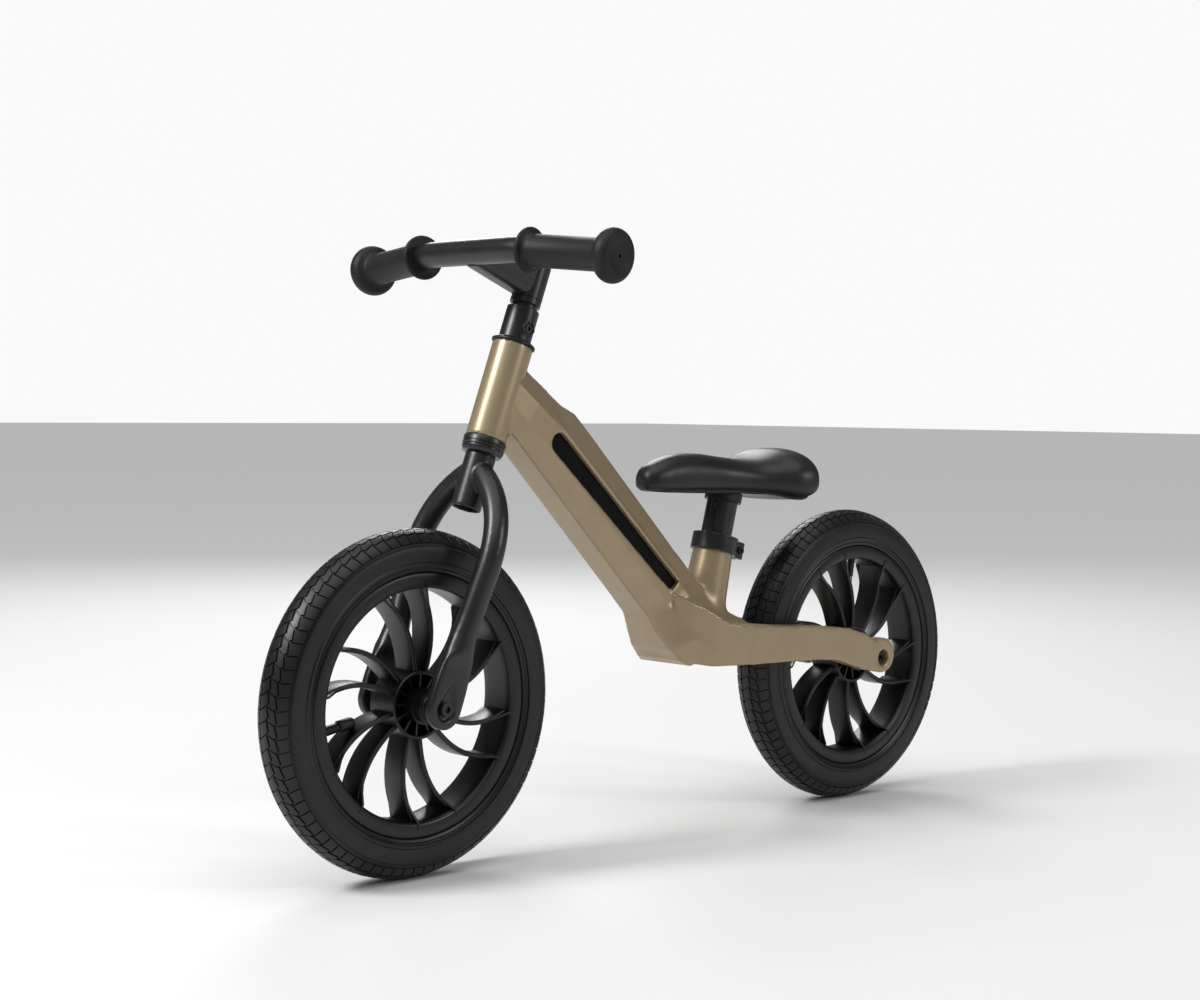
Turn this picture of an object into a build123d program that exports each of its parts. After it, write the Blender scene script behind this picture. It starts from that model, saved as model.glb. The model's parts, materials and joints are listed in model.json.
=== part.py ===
from build123d import *
import os
from math import cos, radians, sin

# A child's balance bike: one cast frame, a steered fork, a height-adjustable handlebar and
# saddle, and two spoked wheels with air tyres. Millimetres. X runs forward, Y to the rider's
# left, Z up; the origin is on the ground, half way between the axles.

# --- driving dimensions -----------------------------------------------------------------
wheelbase = 559.0
tyre_radius = 145.5
tyre_width = 45.0
running_gap = 0.05            # radial clearance of every pivot and sliding fit

steer_tilt = 20.5             # steering axis, degrees back from the vertical
seat_tilt = 15.0              # seat post, degrees back from the vertical
seat_foot = (-89.0, 0.0, 264.0)   # point on the seat post's axis, in the middle of its clamp

axle_radius = 4.0
axle_bolt_radius = 3.0
axle_bolt_head = 6.0
over_locknut = 40.0           # half the distance between the fork tips' inner faces
fork_tip_face = 49.5          # outer face of a fork tip
dropout_face = 54.6           # outer face of a rear dropout
dropout_recess_radius = 8.0
dropout_recess_depth = 8.0
tip_recess_radius = 7.5
tip_recess_depth = 2.0

rim_bead_radius = 101.5       # a 203 mm bead seat
rim_flange_radius = 109.5
rim_inner_radius = 96.5
rim_half_width = 18.0
rim_inner_half_width = 15.0
hub_radius = 28.5
hub_half_width = 16.0
boss_radius = 13.5
boss_half_width = 36.0
wheel_bearing_radius = 11.0
wheel_bearing_width = 7.0
spoke_pairs = 6
spoke_spread = 11.7           # degrees from a pair's middle line to each of its spokes
spoke_sweep = 16.0            # degrees that a spoke turns between the rim and the hub
spoke_thickness = 4.2
spoke_half_width = 12.5
front_pair_angle = 40.0       # first pair's middle line, degrees up from straight back
rear_pair_angle = 51.8
front_valve_angle = 190.0
rear_valve_angle = 81.8
valve_radius = 3.0
valve_tip_radius = 59.0       # from the axle to the cap's outer end
inner_tube_radius = 15.5
inner_tube_centre = 121.5     # from the axle to the middle of the air tube

head_tube_radius = 17.75
head_bore_radius = 14.0
head_low, head_high = 233.0, 319.5     # the head tube's ends, along the steering axis
headset_bearing_radius = 15.9
headset_bearing_height = 7.0
ring_bore_radius = 13.2       # of the loose headset rings round the steerer
cover_radius, cover_height = 19.2, 3.8
cup_radius, cup_low = 18.6, 225.0
race_low, race_high = 219.5, 224.6
race_low_radius, race_high_radius = 17.0, 18.4
steerer_radius = 12.7
steerer_low, steerer_high = 171.0, 352.0
fork_blade_radius = 10.4
fork_crown = 207.0            # where the blades' middle lines meet, above the front axle
fork_shoulder = (55.2, 175.1)  # corner of a blade's middle line: sideways, above the axle
fork_bend_radius = 95.0
fork_foot_half = 44.0         # half the distance between the tubes' lower ends
fork_flat_top = 34.0          # height above the axle where a tip's flat plate begins
fork_tube_foot = 62.0         # height above the axle where a blade's round tube ends
fork_tip_radius = 17.0
tube_wall = 2.0
collar_radius = 14.2
collar_low, collar_high = 323.9, 353.0
clamp_height = 334.5
clamp_pocket_radius = 6.0
clamp_pocket_depth = 1.0
clamp_bolt_radius = 2.5
clamp_head_radius = 4.0

quill_radius = 11.1
quill_low = 250.0
sleeve_radius = 13.5
sleeve_low, sleeve_high = 357.0, 397.0
bar_radius = 11.1
bar_x, bar_height = 213.7, 522.0       # centre of the bar's straight middle stretch
grip_radius = 13.8
grip_end_radius = 22.5
grip_start, grip_end = 67.0, 163.0     # from the middle plane to a grip's ends

seat_post_radius = 14.7
seat_post_low, seat_post_high = -104.0, 50.5
saddle_socket_depth = 9.0
seat_tube_radius = 19.0
seat_tube_top = 4.0
seat_bore_depth = 110.0
collar_outer = 21.8
collar_low_edge = -8.0
seat_collar_height = 16.0
ear_length, ear_width = 13.5, 15.0     # the clamp's ears: beyond the collar, and across both
seat_bolt_radius = 2.5
seat_bolt_reach = 7.5         # from the collar's outside back to the bolt

# Saddle stations from nose to tail: x, half width, bottom and top height.
saddle_stations = [
    (8.0, 7.0, 317.0, 327.0),
    (-3.0, 13.5, 315.0, 337.0),
    (-25.0, 19.0, 314.0, 346.0),
    (-54.0, 22.0, 313.0, 350.0),
    (-90.0, 27.0, 312.5, 347.0),
    (-120.0, 37.0, 311.0, 344.5),
    (-141.0, 48.5, 309.0, 348.0),
    (-158.0, 56.0, 305.5, 353.5),
    (-172.0, 57.0, 306.0, 354.0),
    (-183.0, 48.0, 311.0, 348.5),
    (-190.0, 33.0, 319.0, 340.0),
]

os.makedirs("parts", exist_ok=True)

axle_x = wheelbase / 2
axle_z = tyre_radius
rake = radians(steer_tilt)
steer_up = Vector(-sin(rake), 0, cos(rake))
steer_ahead = Vector(cos(rake), 0, sin(rake))
front_axle_point = Vector(axle_x, 0, axle_z)
rear_axle_point = Vector(-axle_x, 0, axle_z)
seat_up = Vector(-sin(radians(seat_tilt)), 0, cos(radians(seat_tilt)))


def steer_plane(s):
    """Plane square to the steering axis, s above the front axle; its X is ahead, its Y left."""
    return Plane(origin=front_axle_point + steer_up * s, x_dir=steer_ahead, z_dir=steer_up)


def seat_plane(s):
    """Plane square to the seat post's axis, s above the middle of the clamp."""
    return Plane(origin=Vector(*seat_foot) + seat_up * s, x_dir=(cos(radians(seat_tilt)), 0,
                 sin(radians(seat_tilt))), z_dir=seat_up)


def side_plane(y):
    """Plane square to Y, facing left, with its X pointing back and its Y up."""
    return Plane(origin=(0, y, 0), x_dir=(-1, 0, 0), z_dir=(0, 1, 0))


def steer_point(s, y=0.0, ahead=0.0):
    return front_axle_point + steer_up * s + steer_ahead * ahead + Vector(0, y, 0)


clamp_bolt_plane = Plane(origin=steer_point(clamp_height, collar_radius), x_dir=steer_up,
                         z_dir=(0, 1, 0))
seat_bolt_plane = Plane(origin=seat_plane(collar_low_edge + 0.5 * seat_collar_height).from_local_coords(
    (-collar_outer - seat_bolt_reach, ear_width / 2, 0)), x_dir=seat_up, z_dir=(0, 1, 0))


def save(piece, name):
    piece.part.label = name
    export_step(piece.part, f"parts/{name}.step")


# --- frame casting ----------------------------------------------------------------------
# Stations down the frame's deep front beam: bottom and top corner (x, z), then the half
# widths of the flat bottom, the side faces and the flat top.
beam_stations = [
    ((189.0, 379.0), (172.0, 433.0), 14.0, 17.0, 8.0),
    ((175.0, 363.0), (144.0, 411.0), 15.5, 19.5, 11.0),
    ((160.0, 348.0), (119.0, 393.0), 15.5, 20.5, 12.0),
    ((150.0, 338.0), (103.0, 386.0), 15.5, 20.5, 12.0),
    ((131.0, 319.0), (83.0, 367.0), 15.5, 20.5, 12.0),
    ((31.0, 218.5), (-18.0, 267.0), 15.5, 20.5, 12.0),
    ((15.5, 203.0), (-46.0, 238.0), 16.5, 22.0, 12.0),
    ((7.0, 187.0), (-66.0, 218.0), 20.0, 27.5, 13.0),
    ((-4.0, 171.5), (-86.0, 202.0), 25.5, 36.0, 18.0),
    ((-24.0, 155.0), (-108.0, 191.0), 33.0, 44.0, 26.0),
]
side_low, side_high = 0.30, 0.66      # where the side face starts and ends, up the depth
slot_depth = 7.0
insert_thickness = 2.5
slot_face = 20.5
hollow_half, hollow_wall = 10.0, 7.0   # the casting's inner hollow
stay_low, stay_high = 120.0, 240.0

frame_side = [(-10.0, 222.0), (-38.0, 208.0), (-62.0, 194.0), (-84.0, 189.5), (-143.0, 186.0),
              (-190.0, 183.0), (-227.0, 178.5), (-250.0, 172.0), (-270.0, 163.0)]
frame_under = [(-272.0, 132.2), (-254.0, 135.5), (-233.0, 141.0), (-210.0, 148.0),
               (-180.0, 151.0), (-45.0, 154.0), (-14.0, 160.0)]
dropout_radius = 16.5
stay_outside = [(-8.0, 24.0), (-26.0, 34.0), (-50.0, 43.5), (-78.0, 49.0), (-120.0, 51.5),
                (-230.0, dropout_face), (-298.0, dropout_face)]
stay_inside = [(-298.0, 40.0), (-240.0, 40.0), (-170.0, 35.0), (-140.0, 30.0), (-125.0, 18.0),
               (-121.0, 0.0)]


def beam_section(bottom, top, low_half, side_half, top_half):
    """Eight-sided section of the beam, on the plane through its bottom and top corners."""
    low, high = Vector(bottom[0], 0, bottom[1]), Vector(top[0], 0, top[1])
    depth = (high - low).length
    plane = Plane(origin=low, x_dir=(0, 1, 0), z_dir=Vector(0, 1, 0).cross((high - low) / depth))
    half = [(low_half, 0), (side_half, side_low * depth), (side_half, side_high * depth),
            (top_half, depth)]
    return plane, half + [(-y, d) for y, d in reversed(half)]


with BuildPart() as beam:
    for station in beam_stations:
        plane, corners = beam_section(*station)
        with BuildSketch(plane):
            Polygon(*corners, align=None)
    loft(ruled=True)

with BuildPart() as beam_hollow:
    for bottom, top, *_ in beam_stations[2:6]:
        plane, corners = beam_section(bottom, top, hollow_half, hollow_half, hollow_half)
        depth = corners[3][1]
        with BuildSketch(plane):
            with Locations((0, depth / 2)):
                Rectangle(2 * hollow_half, depth - 2 * hollow_wall)
    loft(ruled=True)

with BuildPart() as stays:
    with BuildSketch(Plane.XY.offset(stay_low)):
        with BuildLine():
            Polyline(*stay_outside, *stay_inside)
            mirror(about=Plane.XZ)
            Line((stay_outside[0][0], stay_outside[0][1]), (stay_outside[0][0], -stay_outside[0][1]))
        make_face()
    extrude(amount=stay_high - stay_low)
    with BuildSketch(Plane.XZ):
        with BuildLine():
            Polyline(*frame_side)
            ThreePointArc(frame_side[-1], (-axle_x - dropout_radius, axle_z + 1.0), frame_under[0])
            Polyline(*frame_under)
            Line(frame_under[-1], frame_side[0])
        make_face()
    extrude(amount=dropout_face + 1, both=True, mode=Mode.INTERSECT)


def slot_outline():
    """Long closed outline of the beam's side recess, in (x, z): round above, square below."""
    Line((136.0, 354.0), (-11.0, 223.5))
    Line((-11.0, 223.5), (-21.0, 232.0))
    Line((-21.0, 232.0), (124.0, 368.0))
    ThreePointArc((124.0, 368.0), (136.5, 366.5), (136.0, 354.0))


with BuildPart() as frame_casting:
    add(beam.part)
    add(beam_hollow.part, mode=Mode.SUBTRACT)
    add(stays.part)
    with BuildSketch(steer_plane(head_low)):
        Circle(head_tube_radius)
    extrude(amount=head_high - head_low)
    with BuildSketch(seat_plane(collar_low_edge)):
        Circle(seat_tube_radius)
    with BuildSketch(seat_plane(-50)):
        Circle(seat_tube_radius + 2.0)
    with BuildSketch(seat_plane(-86)):
        Circle(seat_tube_radius + 7.0)
    loft(ruled=True)
    with BuildSketch(seat_plane(collar_low_edge)):
        Circle(seat_tube_radius)
    extrude(amount=seat_tube_top - collar_low_edge)
    # bores: steering, seat post and rear axle
    with BuildSketch(steer_plane(head_low)):
        Circle(head_bore_radius)
    extrude(amount=head_high - head_low, mode=Mode.SUBTRACT)
    for s in (head_low, head_high - headset_bearing_height):
        with BuildSketch(steer_plane(s)):
            Circle(headset_bearing_radius)
        extrude(amount=headset_bearing_height, mode=Mode.SUBTRACT)
    with BuildSketch(seat_plane(seat_tube_top)):
        Circle(seat_post_radius + running_gap)
    extrude(amount=-seat_bore_depth, mode=Mode.SUBTRACT)
    with BuildSketch(side_plane(dropout_face)):
        with Locations((axle_x, axle_z)):
            Circle(axle_bolt_radius)
    extrude(amount=-2 * dropout_face, mode=Mode.SUBTRACT)
    for side in (1, -1):
        with BuildSketch(side_plane(side * dropout_face)):
            with Locations((axle_x, axle_z)):
                Circle(dropout_recess_radius)
        extrude(amount=-side * dropout_recess_depth, mode=Mode.SUBTRACT)
    for side in (1, -1):
        with BuildSketch(Plane.XZ.offset(-side * (slot_face + 1))):
            with BuildLine():
                slot_outline()
            make_face()
        extrude(amount=side * (slot_depth + 1), mode=Mode.SUBTRACT)
save(frame_casting, "frame_casting")

for side, name in ((1, "left"), (-1, "right")):
    with BuildPart() as slot_insert:
        with BuildSketch(Plane.XZ.offset(-side * (slot_face - slot_depth))):
            with BuildLine():
                slot_outline()
            make_face()
        extrude(amount=-side * insert_thickness)
    save(slot_insert, f"slot_insert_{name}")

# --- headset ----------------------------------------------------------------------------
for s, name in ((head_low, "lower"), (head_high - headset_bearing_height, "upper")):
    with BuildPart() as headset_bearing:
        with BuildSketch(steer_plane(s)):
            Circle(headset_bearing_radius)
            Circle(steerer_radius + running_gap, mode=Mode.SUBTRACT)
        extrude(amount=headset_bearing_height)
    save(headset_bearing, f"{name}_headset_bearing")

with BuildPart() as upper_headset_cover:
    with BuildSketch(steer_plane(head_high)):
        Circle(cover_radius)
        Circle(ring_bore_radius, mode=Mode.SUBTRACT)
    extrude(amount=cover_height)
    chamfer(upper_headset_cover.faces().sort_by(Axis((0, 0, 0), tuple(steer_up)))[-1].edges(), 0.8)
save(upper_headset_cover, "upper_headset_cover")

with BuildPart() as lower_headset_cup:
    with BuildSketch(steer_plane(cup_low)):
        Circle(cup_radius)
        Circle(ring_bore_radius, mode=Mode.SUBTRACT)
    extrude(amount=head_low - cup_low)
save(lower_headset_cup, "lower_headset_cup")

with BuildPart() as crown_race:
    for s, radius in ((race_low, race_low_radius), (race_high, race_high_radius)):
        with BuildSketch(steer_plane(s)):
            Circle(radius)
            Circle(steerer_radius, mode=Mode.SUBTRACT)
    loft(ruled=True)
save(crown_race, "crown_race")

# --- fork -------------------------------------------------------------------------------
with BuildPart() as steerer_tube:
    with BuildSketch(steer_plane(steerer_low)):
        Circle(steerer_radius)
        Circle(quill_radius + running_gap, mode=Mode.SUBTRACT)
    extrude(amount=steerer_high - steerer_low)
    with BuildSketch(clamp_bolt_plane):
        Circle(clamp_bolt_radius)
    extrude(amount=-collar_radius, mode=Mode.SUBTRACT)
save(steerer_tube, "steerer_tube")

fork_plane = Plane(origin=front_axle_point, x_dir=(0, 1, 0), z_dir=steer_ahead)
tip_middle = (over_locknut + fork_tip_face) / 2
tip_thickness = fork_tip_face - over_locknut

for side, name in ((1, "left"), (-1, "right")):
    tip_face = Plane(origin=steer_point(0, side * fork_tip_face), x_dir=steer_ahead, z_dir=(0, side, 0))
    with BuildPart() as fork_blade:
        with BuildLine(fork_plane) as blade_line:
            FilletPolyline((0.0, fork_crown), (side * fork_shoulder[0], fork_shoulder[1]),
                           (side * fork_foot_half, fork_tube_foot), radius=fork_bend_radius)
        with BuildSketch(Plane(origin=blade_line.line @ 0, z_dir=blade_line.line % 0)):
            Circle(fork_blade_radius)
            Circle(fork_blade_radius - tube_wall, mode=Mode.SUBTRACT)
        sweep()
        with BuildSketch(Plane(origin=blade_line.line @ 1, x_dir=steer_ahead,
                               z_dir=blade_line.line % 1)):
            Circle(fork_blade_radius)
        with BuildSketch(Plane(origin=steer_point(fork_flat_top, side * tip_middle),
                               x_dir=steer_ahead, z_dir=-steer_up)):
            RectangleRounded(2 * fork_tip_radius, tip_thickness, 3.5)
        loft(ruled=True)
        with BuildSketch(tip_face):
            Circle(fork_tip_radius)
            with Locations((0, side * -fork_flat_top / 2)):
                Rectangle(2 * fork_tip_radius, fork_flat_top)
        extrude(amount=-tip_thickness)
        with BuildSketch(tip_face):
            Circle(axle_bolt_radius)
        extrude(amount=-tip_thickness, mode=Mode.SUBTRACT)
        with BuildSketch(tip_face):
            Circle(tip_recess_radius)
        extrude(amount=-tip_recess_depth, mode=Mode.SUBTRACT)
        with BuildSketch(steer_plane(steerer_low - 20)):
            Circle(steerer_radius)
        extrude(amount=90, mode=Mode.SUBTRACT)
    save(fork_blade, f"fork_blade_{name}")

with BuildPart() as stem_clamp_collar:
    with BuildSketch(steer_plane(collar_low)):
        Circle(collar_radius)
        Circle(steerer_radius, mode=Mode.SUBTRACT)
    extrude(amount=collar_high - collar_low)
    chamfer(stem_clamp_collar.faces().sort_by(Axis((0, 0, 0), tuple(steer_up)))[-1].edges(), 0.7)
    with BuildSketch(clamp_bolt_plane):
        RegularPolygon(clamp_pocket_radius, 6)
    extrude(amount=-clamp_pocket_depth, mode=Mode.SUBTRACT)
    with BuildSketch(clamp_bolt_plane):
        Circle(clamp_bolt_radius)
    extrude(amount=-collar_radius, mode=Mode.SUBTRACT)
save(stem_clamp_collar, "stem_clamp_collar")

with BuildPart() as stem_clamp_bolt:
    with BuildSketch(clamp_bolt_plane.offset(-clamp_pocket_depth)):
        Circle(clamp_bolt_radius)
    extrude(amount=-(collar_radius - clamp_pocket_depth - quill_radius - 0.3))
    with BuildSketch(clamp_bolt_plane.offset(-clamp_pocket_depth)):
        Circle(clamp_head_radius)
        RegularPolygon(0.5 * clamp_head_radius, 6, mode=Mode.SUBTRACT)
    extrude(amount=1.6)
save(stem_clamp_bolt, "stem_clamp_bolt")

# --- handlebar --------------------------------------------------------------------------
with BuildPart() as quill_post:
    with BuildSketch(steer_plane(quill_low)):
        Circle(quill_radius)
        Circle(quill_radius - tube_wall, mode=Mode.SUBTRACT)
    extrude(amount=sleeve_high - 3 - quill_low)
save(quill_post, "quill_post")

with BuildPart() as stem_sleeve:
    with BuildSketch(steer_plane(sleeve_low)):
        Circle(sleeve_radius)
    extrude(amount=sleeve_high - sleeve_low)
    fillet(stem_sleeve.faces().sort_by(Axis((0, 0, 0), tuple(steer_up)))[-1].edges(), 4.0)
    with BuildSketch(steer_plane(sleeve_low + 4.0)):
        Circle(sleeve_radius)
        Circle(sleeve_radius - 0.7, mode=Mode.SUBTRACT)
    extrude(amount=1.6, mode=Mode.SUBTRACT)
    with BuildSketch(steer_plane(sleeve_low)):
        Circle(quill_radius)
    extrude(amount=sleeve_high - 3 - sleeve_low, mode=Mode.SUBTRACT)
save(stem_sleeve, "stem_sleeve")

bar_middle = Vector(bar_x, 0, bar_height)
bar_bend = Vector(bar_x, 52.0, bar_height)
bar_tip_way = Vector(-15.5, 110.0, -9.5).normalized()
grip_length = (grip_end - bar_bend.Y) / bar_tip_way.Y
flange_start = (grip_start - bar_bend.Y) / bar_tip_way.Y


def mirrored(vector, side):
    return Vector(vector.X, side * vector.Y, vector.Z)


with BuildPart() as stem_arm:
    with BuildSketch(Plane(origin=steer_point(378.5), x_dir=(0, 1, 0), z_dir=steer_ahead)):
        RectangleRounded(24.0, 33.0, 8.0)
    with BuildSketch(Plane(origin=bar_middle + steer_ahead * 2, x_dir=(0, 1, 0), z_dir=steer_ahead)):
        RectangleRounded(24.0, 22.6, 8.0)
    loft(ruled=True)
    with BuildSketch(steer_plane(sleeve_low - 10)):
        Circle(sleeve_radius)
    extrude(amount=sleeve_high - sleeve_low + 20, mode=Mode.SUBTRACT)
    with BuildSketch(Plane(origin=bar_middle - Vector(0, 40, 0), z_dir=(0, 1, 0))):
        Circle(bar_radius)
    extrude(amount=80, mode=Mode.SUBTRACT)
save(stem_arm, "stem_arm")

with BuildPart() as handlebar_tube:
    with BuildLine() as bar_line:
        FilletPolyline(mirrored(bar_bend + bar_tip_way * (grip_length - 7), -1),
                       mirrored(bar_bend, -1), bar_bend,
                       bar_bend + bar_tip_way * (grip_length - 7), radius=110.0)
    with BuildSketch(Plane(origin=bar_line.line @ 0, z_dir=bar_line.line % 0)):
        Circle(bar_radius)
        Circle(bar_radius - tube_wall, mode=Mode.SUBTRACT)
    sweep()
save(handlebar_tube, "handlebar_tube")

for side, name in ((1, "left"), (-1, "right")):
    way = mirrored(bar_tip_way, side)
    with BuildPart() as grip:
        out = way.cross(Vector(0, 0, 1)).normalized()
        with BuildSketch(Plane(origin=mirrored(bar_bend, side), x_dir=out, z_dir=out.cross(way))):
            with BuildLine():
                Polyline((bar_radius, flange_start), (18.5, flange_start), (19.5, flange_start + 1.5),
                         (19.5, flange_start + 3.5), (17.0, flange_start + 4.5),
                         (17.0, flange_start + 6.5), (grip_radius, flange_start + 7.5),
                         (grip_radius, grip_length - 17), (20.0, grip_length - 16),
                         (grip_end_radius, grip_length - 13), (grip_end_radius, grip_length - 5),
                         (20.5, grip_length - 1.5), (15.0, grip_length), (0, grip_length),
                         (0, grip_length - 7), (bar_radius, grip_length - 7),
                         (bar_radius, flange_start))
            make_face()
        revolve(axis=Axis(tuple(mirrored(bar_bend, side)), tuple(way)))
    save(grip, f"grip_{name}")

# --- seat post and saddle ---------------------------------------------------------------
with BuildPart() as seat_clamp_collar:
    with BuildSketch(seat_plane(collar_low_edge)):
        Circle(collar_outer)
        with Locations((-collar_outer - ear_length / 2 + 3.0, 0)):
            RectangleRounded(ear_length + 6.0, ear_width, 2.5)
        Circle(seat_tube_radius, mode=Mode.SUBTRACT)
        with Locations((-collar_outer - ear_length / 2 + 3.0, 0)):
            Rectangle(ear_length + 10.0, 2.4, mode=Mode.SUBTRACT)
    extrude(amount=seat_collar_height)
    with BuildSketch(seat_plane(seat_tube_top + 0.3)):
        Circle(seat_tube_radius + 0.5)
        Circle(seat_post_radius + 0.4, mode=Mode.SUBTRACT)
    extrude(amount=collar_low_edge + seat_collar_height - seat_tube_top - 0.3)
    with BuildSketch(seat_bolt_plane):
        Circle(seat_bolt_radius)
    extrude(amount=-20, mode=Mode.SUBTRACT)
save(seat_clamp_collar, "seat_clamp_collar")

with BuildPart() as seat_clamp_bolt:
    with BuildSketch(seat_bolt_plane.offset(-16.0)):
        Circle(seat_bolt_radius)
    extrude(amount=16.0)
    with BuildSketch(seat_bolt_plane):
        Circle(3.6)
        RegularPolygon(1.8, 6, mode=Mode.SUBTRACT)
    extrude(amount=1.6)
save(seat_clamp_bolt, "seat_clamp_bolt")

with BuildPart() as seat_clamp_nut:
    with BuildSketch(seat_bolt_plane.offset(-19.0)):
        RegularPolygon(4.6, 6)
    extrude(amount=4.0)
    with BuildSketch(seat_bolt_plane.offset(-16.0)):
        Circle(seat_bolt_radius)
    extrude(amount=4.0, mode=Mode.SUBTRACT)
save(seat_clamp_nut, "seat_clamp_nut")

with BuildPart() as seat_post:
    with BuildSketch(seat_plane(seat_post_low)):
        Circle(seat_post_radius)
        Circle(seat_post_radius - tube_wall, mode=Mode.SUBTRACT)
        with Locations(Location((0, 0, 0), (0, 0, 45))):
            with Locations((seat_post_radius, 0)):
                Rectangle(1.6, 6.0, mode=Mode.SUBTRACT)
    extrude(amount=seat_post_high - seat_post_low)
save(seat_post, "seat_post")


def saddle_sections(low, high, share):
    """Planes, widths and heights of the saddle's stations: share of its width, from low to high."""
    for x, half, bottom, top in saddle_stations:
        z0, z1 = bottom + low, (bottom + high if high else top)
        plane = Plane(origin=(x, 0, (z0 + z1) / 2), x_dir=(0, 1, 0), z_dir=(1, 0, 0))
        yield plane, 2 * half * share, z1 - z0


with BuildPart() as saddle_pad:
    for plane, width, height in saddle_sections(5.0, None, 1.0):
        with BuildSketch(plane):
            RectangleRounded(width, height, 0.42 * min(width, height))
    loft()
save(saddle_pad, "saddle_pad")

with BuildPart() as saddle_base:
    for plane, width, height in saddle_sections(0.0, 3.8, 0.75):
        with BuildSketch(plane):
            RectangleRounded(width, height, 0.42 * height)
    loft()
    with BuildSketch(seat_plane(seat_post_high - saddle_socket_depth)):
        Circle(seat_post_radius + 3.0)
    extrude(amount=saddle_socket_depth)
    with BuildSketch(seat_plane(seat_post_high - saddle_socket_depth)):
        Circle(seat_post_radius)
    extrude(amount=saddle_socket_depth, mode=Mode.SUBTRACT)
save(saddle_base, "saddle_base")

# --- wheels -----------------------------------------------------------------------------
def tyre_outline():
    """Section of the tyre in (y, radius): two curved walls from bead to crown."""
    outer = [(14.9, rim_bead_radius), (14.9, rim_flange_radius + 0.4)]
    inner = [(11.0, rim_bead_radius), (11.0, 108.0)]
    for wall, wide, crown in ((outer, tyre_width / 2, tyre_radius), (inner, 19.0, 141.0)):
        foot = wall[-1]
        Line(wall[0], wall[1])
        ThreePointArc(foot, (wide, 0.55 * foot[1] + 0.45 * crown), (0.72 * wide, crown - 6.5))
        ThreePointArc((0.72 * wide, crown - 6.5), (0, crown), (-0.72 * wide, crown - 6.5))
        ThreePointArc((-0.72 * wide, crown - 6.5), (-wide, 0.55 * foot[1] + 0.45 * crown),
                      (-foot[0], foot[1]))
        Line((-foot[0], foot[1]), (-wall[0][0], wall[0][1]))
    for side in (1, -1):
        Line((side * outer[0][0], outer[0][1]), (side * inner[0][0], inner[0][1]))


def spoke_point(radius, middle, offset):
    """Point of a spoke's centre line, moved offset mm sideways: it sweeps as a quarter sine."""
    t = (rim_inner_radius + 1.5 - radius) / (rim_inner_radius + 1.5 - hub_radius)
    angle = radians(middle - spoke_sweep * sin(radians(90 * min(max(t, 0), 1))))
    across = angle + offset / radius
    return radius * cos(across), radius * sin(across)


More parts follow.
